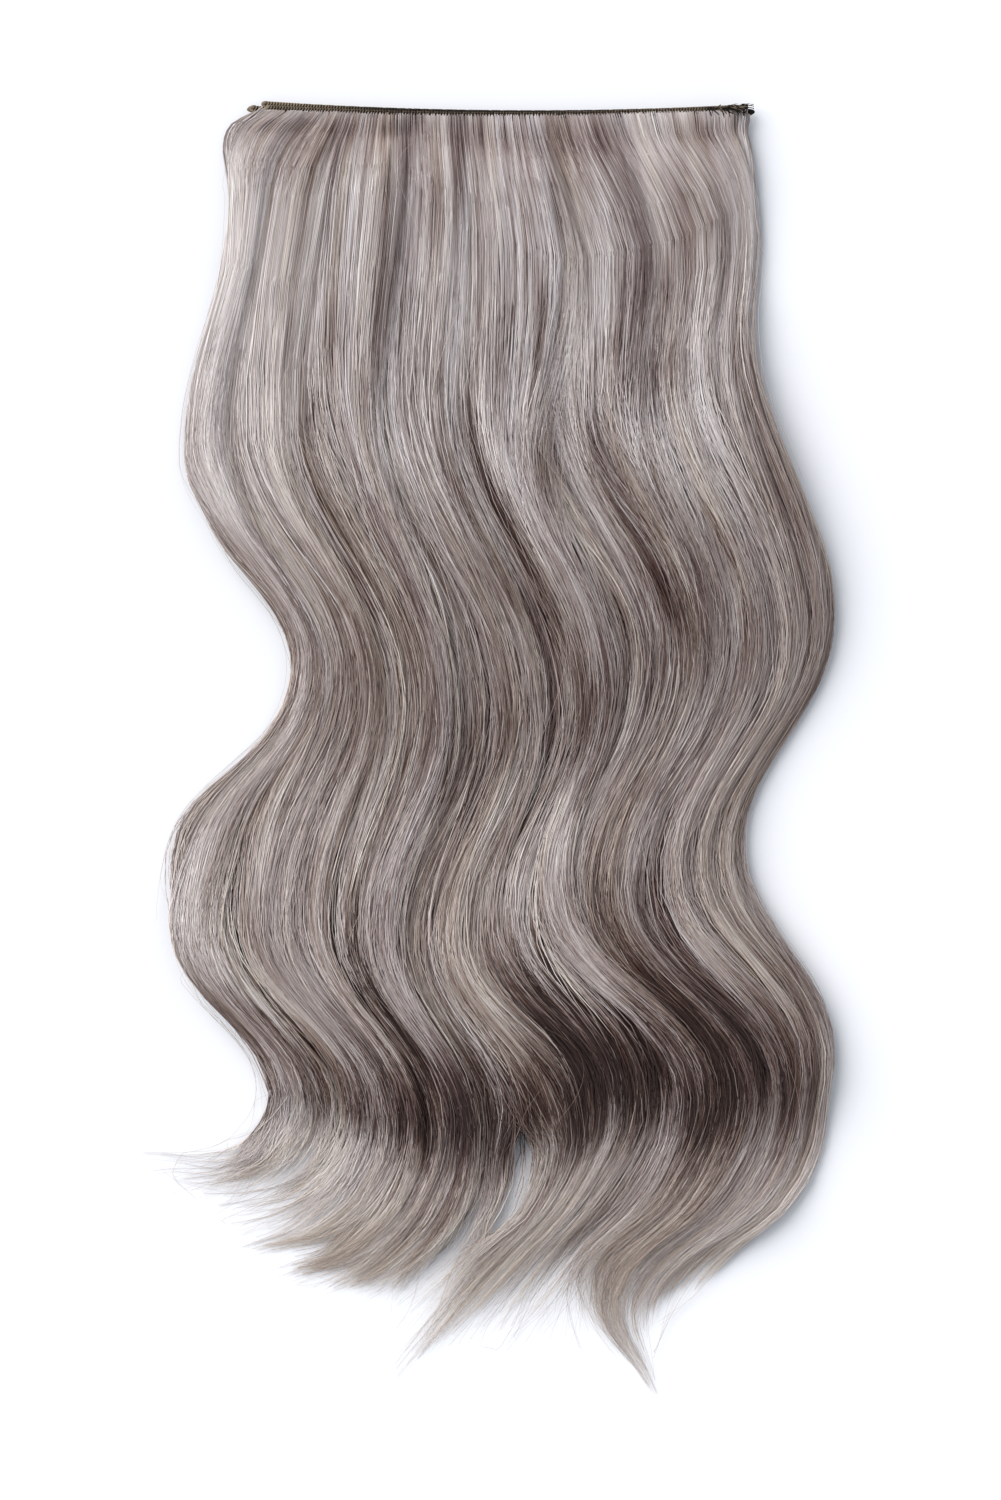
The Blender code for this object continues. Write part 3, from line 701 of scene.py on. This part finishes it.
    def set_roots(self, flat_points, z):
        """Puts the roots on their band or into its lower edge, gathered in tufts. Returns the new heights."""
        share, front = self.share, self.weft.name == "front"
        low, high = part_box("band_" + self.weft.name)
        x = flat_points[:, :1, 0]
        near_end = ease((np.abs(x) - 0.3 * WEFT_WIDTH) / (0.2 * WEFT_WIDTH))
        on_top = self.rows(0, 1) < (0.6 if front else 0.3)
        cover = 0.55 - 0.35 * near_end if front else 0.2
        teeth = 0.8 + 0.3 * np.cos(2 * np.pi * x / STITCH_PITCH)
        overlap = np.where(on_top, GAP + BAND_HEIGHT * cover * teeth * self.rows(0.6, 1.1), 0)
        root_z = np.where(on_top, high[2] + 0.0001, low[2] + (high[2] - low[2]) * self.rows(0.1, 0.9))
        flat_points[..., 1] += (band_rise(self.weft, x) + overlap) * (1 - ease(share / 0.012))
        gap = TUFT_PITCH * (1 + 0.25 * np.sin(x / 0.0071) + 0.2 * np.sin(x / 0.0029))
        stitch = np.round(x / gap) * gap
        flat_points[..., 0] += (stitch - x) * (0.2 + 0.3 * near_end) * (1 - ease(share / 0.03))
        return z + (root_z - z) * (1 - ease(share / 0.022))

    def facing(self, points, place, section):
        """The way each ribbon faces: up, and rolled to the sides of its lock."""
        along = unit(np.gradient(points, axis=1))
        sideways = unit(np.stack([-along[..., 1], along[..., 0], np.zeros_like(place)], -1))
        edge = ease((place - (LAST_GUIDE - 0.5)) / 0.5) - ease((0.5 - place) / 0.5)
        roll = 0.9 * section * (0.4 + 0.6 * self.open_out) + 0.5 * edge + self.normal(0.22)
        roll = np.clip(roll, -0.85, 0.85)
        roll = roll + 0.20 * np.sin(self.rows(20, 60) * self.share + self.rows(0, 6))
        roll = roll + rng.normal(0, 0.07, self.share.shape)
        return np.cos(roll)[..., None] * np.array([0, 0, 1.0]) + np.sin(roll)[..., None] * sideways

    def widths(self, width):
        tip = 1 - 0.68 * ease((self.share - 0.74) / 0.24)
        taper = tip * (1 - 0.5 * ease((self.share / self.ends - 0.9) / 0.1))
        return width * self.rows(0.6, 1.4) * taper

    def tones(self, place, moved, section, height):
        """How light the strands are: each in itself, by lock and place, partly as painted light and shade,
        with painted shade by depth in the pile and along lock borders, and a painted shadow below the band.
        """
        locks, share, k = self.locks, self.share, self.k
        a = np.clip(place / LAST_GUIDE, 0, 1)
        inward = np.minimum(place, LAST_GUIDE - place)
        lag = share + self.normal(0.012)
        kind = self.rows(0, 1)
        tone = 0.605 + self.of(locks.tone) + self.of_tuft(locks.tuft_tone)
        tone = tone + np.where(kind < 0.08, -0.20, 0) + np.where(kind > 0.90, 0.14, 0)
        tone = tone + rng.normal(0, 0.015, share.shape)
        # painted light and shade by place and along the waves, shifted a little for each lock and strand; the
        # random variation is stronger where it paints shade
        lagged = moved + self.of(locks.lag) * ease(k - 1) + self.normal(0.12) + 0.25 * UNEVEN(a, share)
        painted_light = painted_light_tone(place, lagged)
        darker = np.maximum(-painted_light, 0)
        tone = tone + self.normal(0.055) * (1 + 2.0 * darker)
        calm = 0.45 + 0.55 * ease(inward / 3)
        calm = calm * (1 + 0.7 * ease((place - 2.5) / 1.5) * ease((2.6 - k) / 0.8))
        calm = calm * (0.8 + 0.2 * ease((k - 0.2) / 0.8)) * (1 + 1.6 * darker)
        top = ease((2.4 - k) / 1.0)
        coarse = (0.13 - 0.04 * top) * LOCK_TONE(a, lag) + (0.10 - 0.03 * top) * FINE_TONE(a, lag)
        tone = tone + calm * coarse
        tone = tone + calm * (0.06 * SHORT_TONE(a, lag) + (0.03 + 0.07 * top) * STRIPE_TONE(a, lag))
        tone = tone + painted_light
        # painted shade along the borders of the locks, where they meet
        lock_border_shade = self.of(locks.border_shade) * np.clip(np.abs(section), 0, 1) ** 4
        tone = tone - lock_border_shade * ease((share - 0.12) / 0.4) * (1 - ease(k - 5.5))
        # painted shade: strands lower in the pile are darker, less so near the edges and at the tips
        inside = ease((inward + 0.2) / 0.9) * (1 - ease((k - 5) / 1.5))
        tone = tone - 0.22 * (1 - np.clip(height, 0, 1)) * inside
        return tone - root_shadow(place, share) + 0.03 * (1 - ease(share / 0.006))

    def warmth(self, place):
        """How warm the colour is, from 0 to 1."""
        a = np.clip(place / LAST_GUIDE, 0, 1)
        warm = 0.42 + 0.30 * WARMTH(a, self.share) + self.of_tuft(self.locks.tuft_warm) + self.normal(0.12)
        return warm + 0.5 * ease((self.share - 0.78) / 0.2) - 0.20 * ease((0.36 - self.share) / 0.2)


def grow(name, locks, count, look, width, weft, loose=1.0):
    """Strands of a layer of locks, as one piece."""
    strands = Strands(locks, count, weft, loose)
    section, lift = strands.in_lock()
    place, moved, own = strands.wander(section)
    flat_points = flow(place, moved)
    height, z = strands.heights(place, moved, flat_points[..., 1], lift, own)
    z = strands.set_roots(flat_points, z)
    points = in_row_frame(flat_points, z)
    facing = strands.facing(points, place, section)
    wide = strands.widths(width)
    tone = strands.tones(place, moved, section, height)
    uv = np.stack([np.clip(tone, 0.02, 0.98), np.clip(strands.warmth(place), 0.02, 0.98)], -1)
    return ribbons(name, points, wide, facing, uv, look)


def flyaways(name, count, look):
    """Single fine strands that cross the others or stand off the sides."""
    count = int(count * THIN)
    begin = rows(count, 0.02, 0.86)
    share = begin + rows(count, 0.06, 0.24) * np.linspace(0, 1, FLYAWAY_POINTS)[None, :]
    share = np.clip(share, 0, 0.995)
    k = knot_at(share)
    side = rng.uniform(0, 1, (count, 1))
    start = np.where(side < 0.20, rows(count, -0.10, 0.3), rows(count, 0.1, 9.9))
    start = np.where(side > 0.88, rows(count, 9.7, 10.15), start)
    t = np.linspace(0, 1, FLYAWAY_POINTS)[None, :]
    place = start + rows(count, -0.55, 0.55) * t
    place = place + rows(count, -0.35, 0.35) * np.sin(np.pi * t * rows(count, 0.6, 1.6))
    place = np.clip(place, -0.22, LAST_GUIDE + 0.2)
    place = place + edge_shift(place, k)
    flat_points = flow(part(place, k, start, 1.0), k)
    floor, depth = pile(place, k, flat_points[..., 1])
    over = np.where(side < 0.20, rows(count, 0.2, 0.9), 1.03)
    z = floor + depth * over + wave_crest(k, k) + rows(count, 0, 0.0012)
    points = in_row_frame(flat_points, np.maximum(z, 0.0004))
    wide = FLYAWAY_WIDTH * rows(count, 0.7, 1.3) * (1 - 0.5 * np.abs(2 * t - 1) ** 3)
    facing = np.broadcast_to(np.array([0, 0, 1.0]), points.shape)
    # half of the hair's painted light and shade
    tone = np.clip(rng.normal(0.62, 0.08, (count, 1)) + 0.5 * painted_light_tone(place, k), 0.02, 0.98)
    warm = np.clip(rng.normal(0.65, 0.2, (count, 1)) + 0 * t, 0.02, 0.98)
    return ribbons(name, points, wide, facing, np.stack([tone, warm], -1), look)


# Materials
def new_material(name):
    made = bpy.data.materials.new(name)
    made.use_nodes = True
    tree = made.node_tree
    return made, tree, tree.nodes["Principled BSDF"]


def link(tree, out, into):
    tree.links.new(out, into)


def colour_ramp(tree, stops, source):
    node = tree.nodes.new("ShaderNodeValToRGB")
    ramp = node.color_ramp
    while len(ramp.elements) < len(stops):
        ramp.elements.new(0.5)
    for element, (place, colour) in zip(ramp.elements, stops):
        element.position = place
        element.color = (*colour, 1)
    link(tree, source, node.inputs[0])
    return node.outputs["Color"]


def ramp_material(name, cool_stops, warm_stops, roughness, specular):
    """The first UV number picks the colour from two ramps, and the second mixes the two."""
    made, tree, shader = new_material(name)
    uv = tree.nodes.new("ShaderNodeUVMap")
    uv.uv_map = "Strand"
    parts = tree.nodes.new("ShaderNodeSeparateXYZ")
    link(tree, uv.outputs["UV"], parts.inputs[0])
    mix = tree.nodes.new("ShaderNodeMix")
    mix.data_type = "RGBA"
    link(tree, parts.outputs["Y"], mix.inputs["Factor"])
    link(tree, colour_ramp(tree, cool_stops, parts.outputs["X"]), mix.inputs["A"])
    link(tree, colour_ramp(tree, warm_stops, parts.outputs["X"]), mix.inputs["B"])
    link(tree, mix.outputs["Result"], shader.inputs["Base Color"])
    shader.inputs["Roughness"].default_value = roughness
    shader.inputs["Specular IOR Level"].default_value = specular
    return made


def hair_material():
    """Strands: the first UV number is the tone from brown to silver, which also carries painted light and
    shade, the second goes from cool to warm.
    """
    cool = (
        (0.00, (0.016, 0.006, 0.005)), (0.22, (0.088, 0.046, 0.041)), (0.45, (0.268, 0.209, 0.206)),
        (0.62, (0.434, 0.382, 0.390)), (0.80, (0.602, 0.554, 0.567)), (1.00, (0.800, 0.760, 0.775)),
    )
    warm = (
        (0.00, (0.020, 0.007, 0.004)), (0.22, (0.098, 0.048, 0.032)), (0.45, (0.306, 0.222, 0.178)),
        (0.62, (0.476, 0.391, 0.330)), (0.80, (0.646, 0.562, 0.492)), (1.00, (0.835, 0.775, 0.706)),
    )
    return ramp_material("hair_strands", cool, warm, roughness=0.36, specular=0.45)


def thread_material():
    """Sewing thread and the bundled edge: dark brown to olive tan, by the first UV number."""
    dark = (
        (0.00, (0.009, 0.006, 0.005)), (0.20, (0.026, 0.017, 0.012)), (0.50, (0.165, 0.130, 0.100)),
        (1.00, (0.450, 0.385, 0.305)),
    )
    olive = (
        (0.00, (0.012, 0.008, 0.004)), (0.20, (0.034, 0.023, 0.012)), (0.50, (0.190, 0.144, 0.095)),
        (1.00, (0.480, 0.390, 0.270)),
    )
    return ramp_material("sewn_thread", dark, olive, roughness=0.75, specular=0.20)


def steel_material():
    """Dark lacquered steel with worn spots and a fine grain."""
    made, tree, shader = new_material("clip_lacquer")
    place = tree.nodes.new("ShaderNodeTexCoord")
    noise = tree.nodes.new("ShaderNodeTexNoise")
    noise.inputs["Scale"].default_value = 380
    noise.inputs["Detail"].default_value = 6
    link(tree, place.outputs["Object"], noise.inputs["Vector"])
    colour = colour_ramp(tree, (
        (0.30, (0.020, 0.015, 0.013)), (0.62, (0.050, 0.039, 0.033)), (0.80, (0.130, 0.115, 0.100)),
    ), noise.outputs["Fac"])
    link(tree, colour, shader.inputs["Base Color"])
    rough = tree.nodes.new("ShaderNodeMapRange")
    rough.inputs["To Min"].default_value = 0.28
    rough.inputs["To Max"].default_value = 0.55
    link(tree, noise.outputs["Fac"], rough.inputs["Value"])
    link(tree, rough.outputs["Result"], shader.inputs["Roughness"])
    grain = tree.nodes.new("ShaderNodeTexNoise")
    grain.inputs["Scale"].default_value = 2600
    link(tree, place.outputs["Object"], grain.inputs["Vector"])
    bump = tree.nodes.new("ShaderNodeBump")
    bump.inputs["Strength"].default_value = 0.25
    bump.inputs["Distance"].default_value = 0.0001
    link(tree, grain.outputs["Fac"], bump.inputs["Height"])
    link(tree, bump.outputs["Normal"], shader.inputs["Normal"])
    shader.inputs["Metallic"].default_value = 0.3
    return made


HAIR = hair_material()
THREAD = thread_material()
STEEL = steel_material()
for n in range(1, CLIP_COUNT + 1):
    clip = bpy.data.objects[f"clip_{n}"]
    for slot in clip.material_slots:
        slot.material = STEEL


# Bands
def band_pale(weft, x):
    """How much paler a band is at places across: most at its left end, a little at its right end."""
    left = 1 - ease((x + 0.092) / 0.055)
    right = ease((x - 0.03) / 0.05)
    return BAND_PALE[weft.name] * left + 0.20 * right - 0.22


def tube_faces(rings, sides):
    i, j = np.meshgrid(np.arange(rings - 1), np.arange(sides), indexing="ij")
    nxt = (j + 1) % sides
    corners = [i * sides + j, i * sides + nxt, (i + 1) * sides + nxt, (i + 1) * sides + j]
    return np.stack(corners, -1).reshape(-1, 4)


def tube(path, radius, sides, tone, warm):
    """Vertices, faces and tones of a thread along a path. Its two ends are narrowed and left open."""
    along = unit(np.gradient(path, axis=0))
    first = unit(np.cross(along, np.array([1.0, 0.02, 0.03])))
    second = np.cross(along, first)
    turn = np.linspace(0, 2 * np.pi, sides, endpoint=False)
    ring = first[:, None] * np.cos(turn)[None, :, None] + second[:, None] * np.sin(turn)[None, :, None]
    size = np.full(len(path), radius)
    size[[0, -1]] *= 0.25
    vertices = (path[:, None] + ring * size[:, None, None]).reshape(-1, 3)
    uv = np.repeat(np.stack([tone, warm], -1), sides, axis=0)
    return vertices, tube_faces(len(path), sides), uv


def gathered(parts):
    """Several tubes as one set of vertices, faces and tones."""
    vertices, faces, uv, count = [], [], [], 0
    for v, f, t in parts:
        vertices.append(v)
        faces.append(f + count)
        uv.append(t)
        count += len(v)
    return np.concatenate(vertices), np.concatenate(faces), np.concatenate(uv)


def band_frame(weft, x):
    """Middle of a band's section at places across, in the row frame."""
    low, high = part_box("band_" + weft.name)
    y = WEFT_Y + band_line(x) + band_rise(weft, x)
    return np.stack([WEFT_X + x, y, np.full_like(x, (low[2] + high[2]) / 2)], -1)


def section_point(turn, half_height, half_depth):
    """A point of a rounded oblong section, by its turn about the band."""
    c, s = np.cos(turn), np.sin(turn)
    return np.sign(c) * np.abs(c) ** 0.6 * half_height, np.sign(s) * np.abs(s) ** 0.6 * half_depth


def bundle(weft, x_low, x_high):
    """The bundled edge inside the stitches."""
    x = np.linspace(x_low, x_high, BUNDLE_RINGS)
    turn = np.linspace(0, 2 * np.pi, BUNDLE_SIDES, endpoint=False)
    up, out = section_point(turn, HALF_HEIGHT - 0.0003, HALF_DEPTH - 0.00028)
    wobble = 1 + 0.08 * np.sin(x / 0.0013)[:, None] * np.cos(2 * turn)[None, :]
    vertices = np.repeat(band_frame(weft, x)[:, None], BUNDLE_SIDES, axis=1)
    vertices[..., 1] += up[None, :] * wobble
    vertices[..., 2] += out[None, :] * wobble
    pale = band_pale(weft, x) + 0.10 * np.sin(x / 0.0041) * np.sin(x / 0.0119)
    tone = np.repeat((0.32 + 1.3 * pale)[:, None], BUNDLE_SIDES, axis=1)
    uv = np.stack([tone, np.full_like(tone, 0.7)], -1).reshape(-1, 2)
    return vertices.reshape(-1, 3), tube_faces(BUNDLE_RINGS, BUNDLE_SIDES), uv


def wound_thread(weft, x_low, x_high, r, start, radius, base):
    """A thread wound round the bundle, which slants opposite ways on its two faces."""
    steps = 10
    turns = int((x_high - x_low) / STITCH_PITCH)
    t = np.arange(turns * steps + 1) / steps
    up, out = section_point(2 * np.pi * (t + start), HALF_HEIGHT - radius * 0.9, HALF_DEPTH - radius * 0.9)
    xs = x_low + 0.0006 + (x_high - x_low - 0.0012) * t / turns
    xs = np.clip(xs + STITCH_SLANT * up / HALF_HEIGHT * np.sign(out), x_low, x_high)
    path = band_frame(weft, xs)
    path[:, 1] += up
    path[:, 2] += out
    each = np.repeat(r.uniform(-0.05, 0.08, turns + 1), steps)[: len(t)]
    each = each + ((0.5 if weft.name == "rear" else 0.0) + 1.6 * base) * band_pale(weft, xs)
    return tube(path, radius, 4, base + each, np.full(len(t), 0.45) + each)


def lock_stitches(weft, x_low, x_high, face):
    """A chain of lock stitches along the middle of one face."""
    t = np.arange(0, x_high - x_low, STITCH_PITCH / 3)
    path = band_frame(weft, x_low + t)
    path[:, 1] += 0.00022 * np.sin(2 * np.pi * t / STITCH_PITCH) - 0.0001
    path[:, 2] += face * (HALF_DEPTH - 0.00016)
    return tube(path, CHAIN_RADIUS, 4, np.full(len(t), 0.16), np.full(len(t), 0.4))


def end_loop(weft, at, side, r, tones):
    """A loop where the edge turns back at one end."""
    t = np.linspace(0, 1, LOOP_POINTS)
    near, far = (-0.4, 1.0) if weft.name == "under" else (0.0, 0.4)
    reach = LOOP_REACH * r.uniform(near, far)
    xs = at - side * LOOP_TURN + side * (LOOP_TURN + reach) * np.sin(np.pi * t) ** 0.7
    path = band_frame(weft, np.clip(xs, -WEFT_WIDTH / 2, WEFT_WIDTH / 2))
    path[:, 0] = WEFT_X + xs
    path[:, 1] += (HALF_HEIGHT - 0.0002) * (np.cos(np.pi * t) * r.uniform(0.3, 1.0) + r.uniform(-0.3, 0.3))
    path[:, 2] += r.uniform(-0.6, 0.6) * HALF_DEPTH
    return tube(path, LOOP_RADIUS, 5, np.full(LOOP_POINTS, r.uniform(*tones)), np.full(LOOP_POINTS, 0.5))


def crossing_thread(weft, n, r):
    """A loose thread over the right end. Every fourth one is pale."""
    t = np.linspace(0, 1, TANGLE_POINTS)
    begin, run, fall = r.uniform(0.082, 0.097), r.uniform(0.001, 0.006), r.uniform(-0.0012, 0.0042)
    path = band_frame(weft, np.minimum(begin + run * t, WEFT_WIDTH / 2 + 0.0012))
    path[:, 1] += r.uniform(0, 1) * HALF_HEIGHT - fall * t ** 1.5
    path[:, 2] += HALF_DEPTH * (1 + 0.5 * np.sin(np.pi * t)) + r.uniform(0, 0.0003)
    tone = 0.5 if n % 4 == 0 else 0.03
    radius = r.uniform(0.00014, 0.00024)
    return tube(path, radius, 4, np.full(TANGLE_POINTS, tone), np.full(TANGLE_POINTS, 0.4))


def sewn_band(weft, seed):
    """A flat sewn edge: the bundled hair inside, and the stitches and threads round it."""
    r = np.random.default_rng(seed)
    low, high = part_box("band_" + weft.name)
    ends = low[0] - WEFT_X + 0.0004, high[0] - WEFT_X - 0.0004
    parts = [bundle(weft, *ends)]
    for start, radius, base in ((0.0, 0.00033, 0.02), (0.5, 0.00022, 0.50)):
        parts.append(wound_thread(weft, *ends, r, start, radius, base))
    for face in (1, -1):
        parts.append(lock_stitches(weft, *ends, face))
    # olive loops on the left, black ones on the right
    for at, side, tones in ((ends[0], -1, (0.50, 0.70)), (ends[1], 1, (0.02, 0.08))):
        parts += [end_loop(weft, at, side, r, tones) for n in range(LOOP_THREADS)]
    if weft.name == "front":
        parts += [crossing_thread(weft, n, r) for n in range(TANGLE_THREADS)]
    vertices, faces, uv = gathered(parts)
    vertices[:, 1] = np.clip(vertices[:, 1], low[1] - 0.0004, high[1] + 0.0004)
    return mesh_object(f"band_{weft.name}_stitched", vertices, faces, np.clip(uv, 0.02, 0.98), None, THREAD)


# Pieces of hair and bands
UNDER, REAR, FRONT = WEFTS
front_locks = Locks(44, 0.06, 9.94, 0.86, 0.14, 21)
top_locks = Locks(15, 0.10, 9.90, 1.00, 0.07, 24, spread=0.95, wander=0.24, border_shade=0.16)
rear_locks = Locks(30, 0.05, 9.95, 0.60, 0.16, 22)
under_locks = Locks(24, 0.05, 9.95, 0.26, 0.22, 23)

strand_pieces = [
    (grow("hair_front_strands_1", front_locks, FRONT_STRANDS, HAIR, FRONT_WIDTH, FRONT), "hair_front"),
    (grow("hair_front_strands_2", front_locks, FRONT_STRANDS, HAIR, FRONT_WIDTH, FRONT), "hair_front"),
    (grow("hair_front_locks", top_locks, FRONT_STRANDS, HAIR, TOP_WIDTH, FRONT), "hair_front"),
    (grow("hair_rear_strands", rear_locks, REAR_STRANDS, HAIR, REAR_WIDTH, REAR, 1.3), "hair_rear"),
    (grow("hair_under_strands", under_locks, UNDER_STRANDS, HAIR, UNDER_WIDTH, UNDER, 1.5), "hair_under"),
    (flyaways("hair_flyaways", FLYAWAYS, HAIR), "hair_front"),
]
for piece, node in strand_pieces:
    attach(piece, "root")
    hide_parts(node)

for seed, weft in enumerate(WEFTS):
    piece = sewn_band(weft, 60 + seed)
    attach(piece, "root")
    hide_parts("band_" + weft.name)


# Floor, light and camera
def floor_material():
    made, tree, shader = new_material("white_table")
    shader.inputs["Base Color"].default_value = (0.872, 0.884, 0.930, 1)
    shader.inputs["Roughness"].default_value = 0.9
    shader.inputs["Specular IOR Level"].default_value = 0.1
    return made


def make_floor():
    corners = [(x * TABLE_HALF, y * TABLE_HALF, 0) for x, y in ((-1, -1), (1, -1), (1, 1), (-1, 1))]
    mesh = bpy.data.meshes.new("table")
    mesh.from_pydata(corners, [], [(0, 1, 2, 3)])
    mesh.materials.append(floor_material())
    floor = add_object("table", mesh)


def make_key():
    """A wide, even studio light from the upper left."""
    data = bpy.data.lights.new("key", "SUN")
    data.energy = 3.6
    data.angle = math.radians(60)
    data.color = (1.0, 0.975, 0.945)
    lamp = add_object("key", data)
    lamp.location = (-1.6, 1.2, 1.5)
    lamp.rotation_euler = (-lamp.location).to_track_quat("-Z", "Y").to_euler()


def make_world():
    world = bpy.data.worlds.new("studio")
    world.use_nodes = True
    back = world.node_tree.nodes["Background"]
    back.inputs["Color"].default_value = (0.90, 0.95, 1.0, 1)
    back.inputs["Strength"].default_value = 0.56
    bpy.context.scene.world = world


def make_camera():
    data = bpy.data.cameras.new("camera")
    data.lens = CAMERA_LENS
    data.sensor_width = CAMERA_SENSOR
    camera = add_object("camera", data)
    view_height = PHOTO_HEIGHT * PIXEL
    distance = view_height * data.lens / data.sensor_width
    photo_middle = (PHOTO_HEIGHT / 2 - WEFT_ROW) * PIXEL
    camera.location = (WEFT_X, WEFT_Y - photo_middle, distance + CAMERA_LIFT)
    camera.rotation_euler = (0, 0, 0)
    bpy.context.scene.camera = camera


make_floor()
make_world()
make_key()
make_camera()
bpy.context.scene.view_settings.view_transform = "Standard"
bpy.context.scene.view_settings.look = "None"
